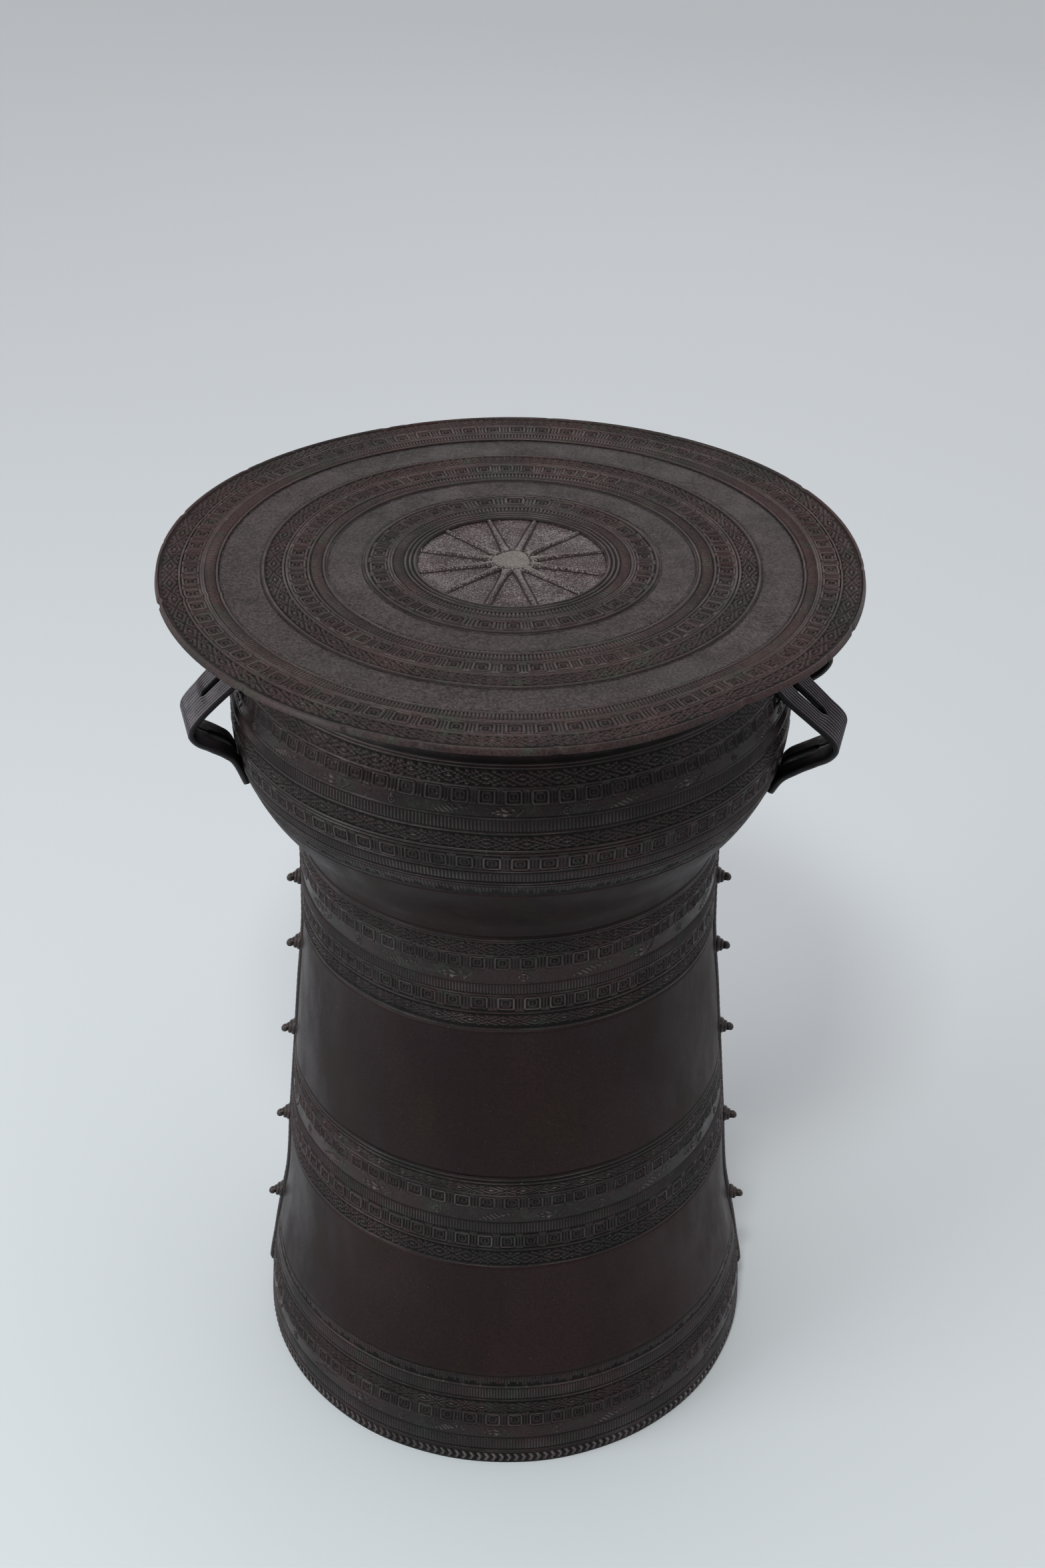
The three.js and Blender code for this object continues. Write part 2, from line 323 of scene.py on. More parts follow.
def build_skin(name, grid, relief, joined=False, smooth_rows=None):
    """Mesh object from a (rows, columns, 3) array in millimetres. Each cell is one quad. joined ties
    the last row to the first; otherwise a fan of triangles closes each end on its mean point. relief
    is a (rows, columns) array from 0, the bottom of the casting's recesses, to 1, the worn tops.
    Faces after smooth_rows rows are shaded flat."""
    rows, columns = grid.shape[:2]
    points = grid.reshape(-1, 3)
    values = np.broadcast_to(relief, (rows, columns)).ravel()
    across = np.arange(columns)
    after = np.roll(across, -1)
    row = np.arange(rows if joined else rows - 1)[:, None]
    below = (row + 1) % rows
    quads = np.stack([row * columns + across, below * columns + across,
                      below * columns + after, row * columns + after], -1).reshape(-1, 4)
    fans = np.empty((0, 3), int)
    if not joined:
        first, last = rows * columns, rows * columns + 1
        fans = np.concatenate([
            np.stack([np.full(columns, first), across, after], -1),
            np.stack([np.full(columns, last), (rows - 1) * columns + after,
                      (rows - 1) * columns + across], -1)])
        points = np.concatenate([points, grid[0].mean(0)[None], grid[-1].mean(0)[None]])
        values = np.append(values, [values[0], values[-1]])
    halves = np.concatenate([quads[:, [0, 1, 2]], quads[:, [0, 2, 3]], fans])
    volume = np.einsum("ij,ij->", points[halves[:, 0]],
                       np.cross(points[halves[:, 1]], points[halves[:, 2]])) / 6
    if volume < 0:
        quads, fans = quads[:, ::-1], fans[:, ::-1]
    mesh = bpy.data.meshes.new(name)
    mesh.vertices.add(len(points))
    mesh.vertices.foreach_set("co", (points * MM).astype(np.float32).ravel())
    mesh.loops.add(quads.size + fans.size)
    mesh.loops.foreach_set("vertex_index", np.concatenate([quads.ravel(), fans.ravel()]).astype(np.int32))
    mesh.polygons.add(len(quads) + len(fans))
    starts = np.concatenate([np.arange(len(quads)) * 4, quads.size + np.arange(len(fans)) * 3])
    mesh.polygons.foreach_set("loop_start", starts.astype(np.int32))
    smooth = np.arange(len(quads) + len(fans)) < (smooth_rows or rows + 1) * columns
    mesh.polygons.foreach_set("use_smooth", smooth)
    mesh.update(calc_edges=True)
    attribute = mesh.attributes.new("relief", "FLOAT", "POINT")
    attribute.data.foreach_set("value", values.astype(np.float32))
    print(f"{name}: {len(halves)} triangles, {abs(volume) / 1000:.1f} cm3")
    return new_object(name, mesh)


def finish_piece(piece, finish, slot, *nodes):
    """Gives a piece its finish and its body, and hides the CAD nodes it stands for.
    slot is not used.
    """
    piece.data.materials.append(finishes[finish])
    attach(piece, "root")
    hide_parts(*nodes)


# %% [markdown]
# ## Stamps
# The caster pressed small stamps into wax sheet, band after band. Each stamp here is a function of x
# along the band and y across it, in millimetres from its middle, that says how far the bronze stands
# up, from 0 to 1. Bump alone would leave the outline smooth, so these heights move the real surface.
# STAMPS also says where across the band the grid needs a row, as shares of its height.

# %% Stamp shapes
SOFT_EDGE = 0.45


def edge(distance, soft=SOFT_EDGE):
    """1 inside a line, 0 outside, with a soft edge: distance is negative inside, in millimetres."""
    t = unit(0.5 - distance / (2 * soft))
    return t * t * (3 - 2 * t)


def stroke(x, y, start, end, half):
    """A straight stroke between two points: all points closer to the segment than half."""
    (x0, y0), (x1, y1) = start, end
    length = (x1 - x0) ** 2 + (y1 - y0) ** 2
    t = unit(((x - x0) * (x1 - x0) + (y - y0) * (y1 - y0)) / length)
    return edge(np.hypot(x - x0 - t * (x1 - x0), y - y0 - t * (y1 - y0)) - half)


def outline_box(x, y, wide, high, corner, half):
    """The outline of a rounded rectangle with half sizes wide and high."""
    qx, qy = np.abs(x) - wide + corner, np.abs(y) - high + corner
    outside = np.hypot(np.maximum(qx, 0), np.maximum(qy, 0)) + np.minimum(np.maximum(qx, qy), 0)
    return edge(np.abs(outside - corner) - half)


def fret(x, y, w, h, number):
    """Two nested frames round a grain, with three upright slots in a flat ground between stamps."""
    outer = outline_box(x, y, 0.29 * w, 0.43 * h, 0.10 * h, 0.50)
    inner = 0.85 * outline_box(x, y, 0.16 * w, 0.22 * h, 0.08 * h, 0.40)
    grain = edge(np.hypot(x, y) - 0.6)
    between = np.abs(np.abs(x) - 0.5 * w)
    slots = edge(np.minimum(between, np.abs(between - 0.125 * w)) - 0.62) * edge(np.abs(y) - 0.40 * h)
    flat = 0.62 * edge(0.33 * w - np.abs(x)) * (1 - slots)
    return np.maximum.reduce([outer, inner, grain, flat])


def lozenge(x, y, w, h, number):
    """Nested rhombi: |x|/(w/2) + |y|/(h/2) is the same all along each one, and the outermost cross."""
    reach = np.abs(x) / (w / 2) + np.abs(y) / (h / 2)
    slope = math.hypot(2 / w, 2 / h)
    lines = edge(reach / slope - 0.9)
    for share in (0.70, 1.28, 1.80):
        lines = np.maximum(lines, edge(np.abs(reach - share) / slope - 0.45))
    return lines * edge(np.abs(y) - 0.46 * h)


def comb(x, y, w, h, number):
    """One upright bar, about half as wide as its pitch."""
    return 0.85 * edge(np.abs(x) - 0.26 * w, 0.2 * w) * edge(np.abs(y) - 0.42 * h, 0.3)


def fringe(x, y, w, h, number):
    """A comb whose bars hang from the upper edge to uneven depths and fade as they go."""
    length = h * (0.45 + 0.5 * np.abs(np.sin(number * 12.9898) * np.cos(number * 4.1414)))
    depth = 0.5 * h - y
    return comb(x, 0 * y, w, h, number) * edge(depth - length, 0.9) * (1 - 0.55 * depth / h)


def rope(x, y, w, h, number):
    """Chevrons along the band, like a plait: bars of x + 0.55 |y| repeated at the pitch."""
    lean = np.mod(x + 0.55 * np.abs(y) + w / 2, w) - w / 2
    return edge(np.abs(lean) - 0.24 * w, 0.5) * edge(np.abs(y) - 0.44 * h)


BIRD = ((-0.30, -0.26, -0.02, 0.30, 0.4), (-0.22, -0.30, 0.06, 0.26, 0.4), (-0.14, -0.34, 0.12, 0.18, 0.4),
        (0.04, 0.02, 0.26, 0.34, 0.35), (0.26, 0.34, 0.31, 0.22, 0.35))
FISH = ((-0.26, 0.0, -0.04, 0.30, 0.38), (-0.26, 0.0, -0.02, -0.28, 0.38),
        (-0.12, 0.04, 0.12, 0.26, 0.35), (-0.08, -0.10, 0.16, -0.22, 0.35), (0.16, -0.26, 0.28, 0.26, 0.38))


def creatures(x, y, w, h, number):
    """Hatched birds, fish and round flowers in turn. Each stroke of a bird or fish is x0, y0, x1, y1 as
    shares of w and h, and half its width in millimetres."""
    bird, fish = (np.maximum.reduce([stroke(x, y, (x0 * w, y0 * h), (x1 * w, y1 * h), half)
                                     for x0, y0, x1, y1, half in drawing]) for drawing in (BIRD, FISH))
    flower = np.maximum(edge(np.abs(np.hypot(x, y) - 0.26 * h) - 0.35), edge(np.hypot(x, y) - 0.6))
    kind = np.mod(number, 3)
    return np.where(kind == 0, bird, np.where(kind == 1, fish, flower))


STAMPS = {
    "fret": (fret, (0, 0.07, 0.16, 0.25, 0.34, 0.43, 0.5)),
    "lozenge": (lozenge, (0, 0.1, 0.2, 0.3, 0.4, 0.5)),
    "comb": (comb, (0.38, 0.5)),
    "fringe": (fringe, (0.05, 0.3, 0.5)),
    "rope": (rope, (0, 0.2, 0.4, 0.5)),
    "creatures": (creatures, (0, 0.13, 0.26, 0.38, 0.5))}

# %% [markdown]
# ## Bands
# A band is a stamp, its two edges and how many times it goes round. A ridge is a rounded line. Rows of
# the grid are placed only where a band or ridge needs them, which keeps plain bronze cheap.

# %% Bands on a grid
RIDGE_HALF = 0.75
LEAST_GAP = 0.2


def rows_for(start, end, bands, ridges, plain_step):
    """Row positions from start to end: each band's own rows, four across each ridge, and at most
    plain_step apart between them. A row within LEAST_GAP of the one before is left out."""
    rows = [np.array([start, end])]
    for stamp, low, high, _ in bands:
        shares = np.array(STAMPS[stamp][1]) * (high - low)
        rows.append(0.5 * (low + high) + np.concatenate([-shares, shares]))
    for ridge in ridges:
        rows.append(ridge + RIDGE_HALF * np.array([-1.15, -0.5, 0.5, 1.15]))
    rows = np.unique(np.concatenate(rows))
    rows = rows[(rows >= start) & (rows <= end)]
    rows = rows[np.append(True, np.diff(rows) > LEAST_GAP)]
    rows[-1] = end
    gaps = [np.linspace(a, b, int(math.ceil((b - a) / plain_step)) + 1)[:-1]
            for a, b in zip(rows[:-1], rows[1:])]
    return np.append(np.concatenate(gaps), end)


def worn(angle, along, seed):
    """Slow waves between 0.7 and 1: how crisp the casting came out here. A product of sines whose
    whole numbers of turns close up round the drum."""
    wave = (np.sin(3 * angle + 0.031 * along + seed) + np.sin(7 * angle - 0.05 * along + 2.3 * seed)
            + np.sin(13 * angle + 0.11 * along + 4.1 * seed))
    return 0.85 + 0.05 * wave


def ornament(angle, along, bands, ridges, radius_at, seed):
    """Relief from 0 to 1 over a grid of angles and positions across the bands. Each band's stamp is
    read at x = phase * pitch, y = distance from the band's middle. All but combs and fringes
    wander by up to a ninth of a pitch."""
    relief = np.zeros(np.broadcast(angle, along).shape)
    for number, (stamp, low, high, repeats) in enumerate(bands):
        chosen = ((along >= low - 0.01) & (along <= high + 0.01)).ravel()
        if not chosen.any():
            continue
        y = along[chosen] - 0.5 * (low + high)
        pitch = math.tau * radius_at(0.5 * (low + high)) / repeats
        turn = angle / math.tau * repeats
        if stamp not in ("comb", "fringe"):
            turn = turn + 0.11 * np.sin(5 * angle + seed + number) + 0.37 * number
        turn, y = np.broadcast_arrays(turn, y)
        raised = STAMPS[stamp][0]((turn - np.floor(turn) - 0.5) * pitch, y, pitch, high - low,
                                  np.mod(np.floor(turn), repeats))
        relief[chosen] = np.maximum(relief[chosen], raised * worn(angle, y + low, seed + number))
    for ridge in ridges:
        rise = unit(1 - ((along - ridge) / (1.1 * RIDGE_HALF)) ** 2) ** 0.7
        relief = np.maximum(relief, rise * (0.10 + 0.75 * worn(angle, along, seed)))
    return relief


def casting_wave(angle, along):
    """The shell's slow unevenness: a sum of sines, in millimetres, a few tenths either way."""
    return (0.22 * np.sin(2 * angle + 0.9) + 0.16 * np.sin(5 * angle + 0.013 * along)
            + 0.13 * np.sin(9 * angle - 0.021 * along + 1.7) + 0.10 * np.sin(17 * angle + 0.05 * along)
            + 0.12 * np.sin(0.045 * along + 3 * angle))


print("stamps:", ", ".join(STAMPS))

# %% [markdown]
# ## Mixing the finishes
# Old bronze is a metal under a dark skin of oxide, wax and dust. Every piece shares three effects, so
# each is a node group built once: clouds of oxide, wear, dirt and painted shade that follow the relief,
# and dust on faces that look up. A painted map would be simpler to control but belongs to one drum only.

# %% [markdown]
# The oxide clouds come first. Large soft clouds mix two browns, smaller ones bring a green-grey, a
# fine grain breaks both up, because cast skin is never quite even, and drifts of pale flecks lie on top.

# %% Oxide clouds
FLECK_COLOUR = (0.22, 0.21, 0.21, 1)
oxide, given, put = new_group(
    "oxide_clouds",
    {"Vector": ["Vector", "Place"], "Color": ["Base", "Warm", "Green"],
     "Float": ["Size", "Green Share", "Speckle", "Fleck Level"]},
    {"Color": ["Color"], "Float": ["Roughness Shift", "Height"]})
large = cloud(oxide, given["Vector"], given["Size"], 5.0, 0.6)
small = cloud(oxide, given["Vector"], sum_up(oxide, "MULTIPLY", given["Size"], 5.3), 5.0, 0.62)
grain = cloud(oxide, given["Place"], 620.0, 3.0, 0.6)
browned = blend_colour(oxide, span(oxide, large, 0.36, 0.66), given["Base"], given["Warm"])
green_mask = sum_up(oxide, "MULTIPLY", span(oxide, small, 0.50, 0.72), given["Green Share"])
greened = blend_colour(oxide, green_mask, browned, given["Green"])
spread = sum_up(oxide, "MULTIPLY", span(oxide, grain, 0.3, 0.7, -1.0, 1.0), given["Speckle"])
speckled = add(oxide, "HueSaturation",
               {"Value": sum_up(oxide, "ADD", spread, 1.0), "Color": greened}).outputs[0]
crumbs = sum_up(oxide, "ADD", cloud(oxide, given["Place"], 1150.0, 1.0, 0.4), given["Fleck Level"])
drifts = sum_up(oxide, "MULTIPLY_ADD", cloud(oxide, given["Place"], 45.0, 3.0, 0.6), 0.3, -0.15)
fleck = span(oxide, sum_up(oxide, "ADD", crumbs, drifts), 0.745, 0.81, 0.0, 0.6)
flecked = blend_colour(oxide, fleck, speckled, FLECK_COLOUR)
oxide.links.new(flecked, put["Color"])
oxide.links.new(span(oxide, sum_up(oxide, "ADD", small, sum_up(oxide, "MULTIPLY", grain, 0.35)),
                     0.45, 0.95, -0.10, 0.16), put["Roughness Shift"])
oxide.links.new(sum_up(oxide, "ADD", sum_up(oxide, "MULTIPLY", grain, 0.6), small), put["Height"])

# %% [markdown]
# Hands and cloths polish the tops of the ridges, and dirt stays in the bottoms. The bottoms are also
# painted nearly black as painted shade in the recesses, and on the handle the pale tops are also a
# painted highlight. Both masks come from the relief value stored on each point, roughened with a little
# noise so that the wear isn't even.

# %% Wear and dirt
rubbing_and_shade, given, put = new_group(
    "rubbing_grime_and_shade",
    {"Vector": ["Vector"], "Color": ["Color", "Polish And Highlight", "Grime And Shade"],
     "Float": ["Relief", "Polish And Highlight Share", "Grime And Shade Share", "Roughness"]},
    {"Color": ["Color"], "Float": ["Roughness"]})
patchy = cloud(rubbing_and_shade, given["Vector"], 38.0, 4.0, 0.65)
shifted = sum_up(rubbing_and_shade, "ADD", given["Relief"], sum_up(rubbing_and_shade, "MULTIPLY_ADD", patchy, 0.4, -0.2))
tops = sum_up(rubbing_and_shade, "MULTIPLY", span(rubbing_and_shade, shifted, 0.60, 1.0), given["Polish And Highlight Share"])
# The mask of the low relief paints it dark: painted shade in the recesses, with some dirt.
shaded_bottoms = sum_up(rubbing_and_shade, "MULTIPLY", span(rubbing_and_shade, shifted, 0.40, 0.10), given["Grime And Shade Share"])
grimed_and_shaded = blend_colour(rubbing_and_shade, shaded_bottoms, given["Color"], given["Grime And Shade"])
rubbing_and_shade.links.new(blend_colour(rubbing_and_shade, tops, grimed_and_shaded, given["Polish And Highlight"]), put["Color"])
smoother = sum_up(rubbing_and_shade, "MULTIPLY_ADD", tops, -0.16, given["Roughness"])
rubbing_and_shade.links.new(sum_up(rubbing_and_shade, "MULTIPLY_ADD", shaded_bottoms, 0.22, smoother), put["Roughness"])

# %% [markdown]
# Dust lies on level bronze and thins out on a slope. The upward part of the surface normal gives the
# slope, and noise leaves some places wiped clean.

# %% Settled dust
dust, given, put = new_group(
    "settled_dust",
    {"Vector": ["Vector"], "Color": ["Color", "Dust"], "Float": ["Amount", "Roughness"]},
    {"Color": ["Color"], "Float": ["Roughness"]})
facing = add(dust, "SeparateXYZ",
             {0: add(dust, "NewGeometry").outputs["Normal"]}).outputs[2]
level = span(dust, facing, 0.25, 0.95)
wiped = span(dust, cloud(dust, given["Vector"], 11.0, 6.0, 0.62), 0.30, 0.72, 0.35, 1.0)
lying = sum_up(dust, "MULTIPLY", sum_up(dust, "MULTIPLY", level, wiped), given["Amount"])
dust.links.new(blend_colour(dust, lying, given["Color"], given["Dust"]), put["Color"])
dust.links.new(sum_up(dust, "MULTIPLY_ADD", lying, 0.25, given["Roughness"]), put["Roughness"])

# %% [markdown]
# Each finish is one material: the three groups in a row, a bump for the cast skin, and a Principled
# shader. The oxide hides most of the metal, so Metallic is low, and the bright edges come from gloss
# seen at a shallow angle.

# %% Bronze finishes


DUST_COLOUR = (0.17, 0.165, 0.16, 1)
SKIN_STRENGTH, SKIN_DEPTH = 0.25, 0.0006


def bronze(name, colours, values):
    """A bronze material from the three shared groups, made from one row of FINISHES."""
    base, warm, green, polish_and_highlight, grime_and_shade = ((*(level / 1000 for level in colour), 1) for colour in colours)
    (size, green_share, roughness, gloss, metallic, polish_and_highlight_share, grime_and_shade_share, dust_amount, speckle,
     fleck_level, stretch) = values
    material = bpy.data.materials.new(name)
    material.use_nodes = True
    tree = material.node_tree
    place = add(tree, "TexCoord").outputs["Object"]
    streaks = add(tree, "VectorMath", {0: place, 1: (1, 1, stretch)},
                  operation="MULTIPLY").outputs[0]
    relief = add(tree, "Attribute", attribute_name="relief").outputs["Fac"]
    clouds = add(tree, "Group", {
        "Vector": streaks, "Place": place, "Base": base, "Warm": warm, "Green": green,
        "Size": size, "Green Share": green_share, "Speckle": speckle, "Fleck Level": fleck_level},
        node_tree=oxide).outputs
    rubbed_and_shaded = add(tree, "Group", {
        "Vector": place, "Color": clouds["Color"], "Relief": relief, "Polish And Highlight": polish_and_highlight,
        "Polish And Highlight Share": polish_and_highlight_share, "Grime And Shade": grime_and_shade, "Grime And Shade Share": grime_and_shade_share,
        "Roughness": sum_up(tree, "ADD", clouds["Roughness Shift"], roughness)}, node_tree=rubbing_and_shade).outputs
    dusty = add(tree, "Group", {
        "Vector": place, "Color": rubbed_and_shaded["Color"], "Roughness": rubbed_and_shaded["Roughness"],
        "Dust": DUST_COLOUR, "Amount": dust_amount}, node_tree=dust).outputs
    bump = add(tree, "Bump", {"Height": clouds["Height"], "Strength": SKIN_STRENGTH,
                                        "Distance": SKIN_DEPTH}).outputs
    shader = tree.nodes["Principled BSDF"].inputs
    tree.links.new(dusty["Color"], shader["Base Color"])
    tree.links.new(dusty["Roughness"], shader["Roughness"])
    tree.links.new(bump["Normal"], shader["Normal"])
    shader["Metallic"].default_value = metallic
    shader["Specular IOR Level"].default_value = gloss
    return material


# Colours in thousandths of linear red, green and blue: base, warm, green, worn (on the handle also a
# painted highlight), and the dark colour of the recesses, which is dirt with painted shade. Then cloud
# size, green share, roughness, gloss, metallic, worn share, share of dirt and painted shade, dust,
# speckle, fleck level, and how fast the clouds change with height.
FINISHES = {
    "head_plain": (((23, 20.5, 20.5), (31, 24, 24.5), (24, 24.5, 21), (50, 48, 42), (20, 12, 12.5)),
                   (9, 0.5, 0.48, 0.12, 0.1, 0.5, 0.7, 0.04, 0.85, 0.03, 1)),
    "star": (((23, 15.5, 16.5), (32, 18, 20), (32, 31, 25), (150, 146, 122), (7, 4.5, 4.5)),
             (14, 0.4, 0.46, 0.15, 0.1, 0.85, 0.85, 0.04, 0.9, 0.22, 1)),
    "head_stamped": (((21, 18.5, 18), (36, 20.5, 21), (26, 31, 24), (130, 116, 104), (2, 1.5, 1.5)),
                     (13, 0.9, 0.42, 0.15, 0.1, 0.75, 0.98, 0.03, 0.35, 0, 1)),
    "body_plain": (((11, 6, 6.6), (19, 9.3, 9.4), (15.5, 10.8, 6.6), (40, 30, 30), (5, 3, 3)),
                   (4.5, 0.75, 0.47, 0.14, 0.15, 0.5, 0.7, 0.03, 0.28, -0.04, 0.45)),
    "body_stamped": (((15, 12.5, 12.5), (27, 14.5, 16), (21.5, 28, 22), (150, 130, 128), (1.5, 1, 1)),
                     (12, 0.95, 0.36, 0.2, 0.2, 0.8, 0.98, 0.04, 0.28, 0, 1)),
    # The handle's pale blue-grey worn colour is wear and a painted highlight on the rib tops.
    "handle": (((14, 13, 16), (22, 17, 21), (18, 21, 20), (125, 122, 142), (1.5, 1.5, 1.5)),
               (22, 0.35, 0.36, 0.3, 0.2, 0.8, 0.98, 0.03, 0.28, 0, 1)),
    "seam": (((18, 15, 15), (28, 18, 18), (30, 33, 25), (80, 75, 75), (4, 3, 3)),
             (25, 0.5, 0.38, 0.25, 0.2, 0.5, 0.92, 0.06, 0.28, 0, 1))}
finishes = {name: bronze(name + "_bronze", *row) for name, row in FINISHES.items()}
print("materials:", len(bpy.data.materials))

# %% [markdown]
# ## Shell rings
# Each shell is a stack of closed rings, as fine as its ornament needs, with a plain inner wall. One
# mesh per shell would be simpler, but too heavy to keep as a solid. The joints lie on plain bronze
# between bands, where both rings follow the same line, so none of them shows.

# %% Ring of a shell
STAMP_RISE = 1.7
STAMP_SINK = 0.3
WALL, FOOT_WALL, FOOT_FADE = 3.5, 5.0, 12
INNER_STEP = 14
PLAIN_RELIEF, GROUND_RELIEF = 0.42, 0.12
# RIDGE_FOOT and BAND_MARGIN set how far the painted shade reaches past a ridge and past a band.
RIDGE_FOOT, BAND_MARGIN = 1.3, 0.6


def relief_value(along, relief, bands, ridges):
    """What the finish reads: low on the ground of a close-set band and at the foot of a ridge, which the
    finish paints dark as dirt and painted shade, middling on plain bronze and round the creatures, and 1 on
    the tops."""
    ground = np.full(along.shape, PLAIN_RELIEF)
    for ridge in ridges:
        # The ground along both sides of a ridge is set lowest, so it is painted dark: painted shade lines
        # beside the ridge.
        ground = np.where(np.abs(along - ridge) < RIDGE_FOOT * RIDGE_HALF, 0.5 * GROUND_RELIEF, ground)
    for stamp, low, high, _ in bands:
        if stamp != "creatures":
            inside = (along > low - BAND_MARGIN) & (along < high + BAND_MARGIN)
            ground = np.where(inside, GROUND_RELIEF, ground)
    return ground + (1 - ground) * relief


def pressed_rows(low, high, columns, bands, ridges, seed, plain_step, radius_at):
    """Row positions, angles, stamp relief and finish value of a ring between low and high."""
    along = rows_for(low, high, bands, ridges, plain_step)[:, None]
    angle = around(columns)
    relief = ornament(angle, along, bands, ridges, radius_at, seed)
    return along, angle, relief, relief_value(along, relief, bands, ridges)


def shell_ring(node, name, low, high, columns, bands, ridges, seed, finish="body_stamped", plain_step=7.0):
    """A closed ring of a shell between two heights: outer radius = outline + slow casting wave + stamp
    rise, inner radius = outline - wall. The wall thickens towards the foot."""
    along, angle, relief, value = pressed_rows(low, high, columns, bands, ridges, seed, plain_step,
                                               body_radius)
    outer = body_radius(along) + casting_wave(angle, along)
    outer = outer + STAMP_RISE * (relief - STAMP_SINK * (relief > 0))
    inner_along = np.linspace(high, low, max(2, int((high - low) / INNER_STEP)))[:, None]
    thickness = WALL + (FOOT_WALL - WALL) * np.exp(-inner_along / FOOT_FADE)
    inner = body_radius(inner_along) - thickness + 0 * angle
    grid = turned(np.concatenate([outer, inner]), angle, np.concatenate([along, inner_along]))
    value = np.concatenate([value, np.full(inner.shape, PLAIN_RELIEF)])
    ring = build_skin(name, grid, value, joined=True, smooth_rows=len(along) - 1)
    finish_piece(ring, finish, "body_bronze", node)


# %% [markdown]
# ## Mantle
# The mantle swells under the head. Its ornament runs from a ridge below the head down past the handle
# roots, and the cove under it is plain. Heights are in millimetres above the floor.

# %% Mantle rings
for ring in (
    ("mantle_shoulder", 589.4, HEAD_UNDERSIDE, 1632,
     [("lozenge", 601.6, 611.0, 51), ("fret", 590.2, 599.8, 68)], [614.6, 612.6, 600.7], 0.4),
    ("mantle_bulge", 559.0, 589.4, 2040,
     [("creatures", 581.6, 589.0, 30), ("comb", 572.1, 580.7, 510), ("lozenge", 559.5, 568.8, 51)],
     [581.2, 570.9], 1.9),
    ("mantle_lower_bands", 520.0, 559.0, 2040,
     [("fret", 544, 553.5, 68), ("comb", 533.8, 540.8, 510), ("fringe", 521.2, 528.7, 510)],
     [558.0, 555.6, 542.6, 532.0, 529.8], 3.1),
    ("mantle_cove", NECK, 520.0, 480, (), (), 0.7, "body_plain", 3.0)):
    shell_ring("mantle", *ring)

# %% [markdown]
# ## Waist and foot
# The waist is a plain barrel between two wide bands, and its foot flares to one more. The same stamps
# return in another order.

# %% Waist rings
for ring in (
    ("waist_upper_bands", 422.8, NECK, 1408,
     [("lozenge", 446.6, 455.6, 44), ("fret", 434.3, 444.9, 55), ("creatures", 423.6, 432.9, 22)],
     [458.4, 456.6, 445.7], 2.2),
    ("waist_upper_lower_bands", 383.0, 422.8, 1760,
     [("comb", 414.1, 422.2, 440), ("fret", 401.1, 411.8, 55), ("lozenge", 387.9, 396.0, 44)],
     [413, 398.4, 384.6], 4.2),
    ("waist_barrel", 260.0, 383.0, 480, (), (), 0.2, "body_plain", 3.5),
    ("waist_middle_bands", 221.5, 260.0, 1536,
     [("lozenge", 246.3, 253.3, 48), ("fret", 233.6, 243.8, 60), ("creatures", 222.2, 231.5, 24)],
     [258.6, 255.4, 245], 5.0),
    ("waist_middle_lower_bands", 181.0, 221.5, 1920,
     [("comb", 211.8, 221.1, 480), ("fret", 199.2, 210.0, 60), ("lozenge", 183.9, 195.1, 48)],
     [197, 182.2], 0.9),
    ("waist_flare", 81.6, 181.0, 480, (), (), 1.1, "body_plain", 3.5),
    ("foot_upper_bands", 37.0, 81.6, 1620,
     [("fringe", 73.4, 81.4, 540), ("comb", 62.6, 71.9, 540), ("lozenge", 50.1, 58.7, 54),
     ("fret", 38.0, 49.1, 72)], [72.8, 61.2], 2.8),
    ("foot_rim_bands", FLOOR, 37.0, 1620,
     [("creatures", 26.9, 35.9, 30), ("comb", 14.6, 25.7, 540), ("rope", 1.8, 10.6, 216)],
     [13.2, 11.6], 3.7)):
    shell_ring("waist", *ring)

# %% [markdown]
# ## Head
# The head is a flat plate with rings of the same stamps round a star. Here rows are radii, and the
# relief lifts the height instead of the radius. The plate was knocked once, so its rim is pulled in and
# a little up at one place.

# %% Rings of the head
HEAD_GROUND, STAR_GROUND = HEAD_TOP - 1.0, HEAD_TOP - 2.0
BEAD, BEAD_ROWS, BEAD_TURN, BEAD_RELIEF = 2.6, 9, 2.2, 0.45
UNDER_LIP = 2.2
WAVY_FROM, WAVY_OVER = 140, 92
KNOCK_ANGLE = math.radians(307)
KNOCK_WIDTH, KNOCK_DEPTH, NICK_DEPTH = 0.26, 3.2, 2.2


def plate_shape(radius, angle, height):
    """Radius and height after the rim's slow waviness, its small nicks and the knock, all growing from
    the middle of the plate to its rim."""
    reach = unit((radius - WAVY_FROM) / WAVY_OVER) ** 1.5
    away = np.mod(angle - KNOCK_ANGLE + math.pi, math.tau) - math.pi
    knock = np.exp(-(away / KNOCK_WIDTH) ** 2)
    nick = unit(np.sin(11 * angle + 2) * np.sin(29 * angle) * np.sin(53 * angle) - 0.45)
    wave = 1.3 * np.sin(3 * angle - 0.52) + 0.6 * np.sin(2 * angle + 0.4)
    wave = wave - KNOCK_DEPTH * knock - NICK_DEPTH * nick
    lift = KNOCK_DEPTH * knock + 0.45 * np.sin(2 * angle + 1.0) + 0.35 * np.sin(5 * angle)
    return radius + reach * wave, height + reach * lift


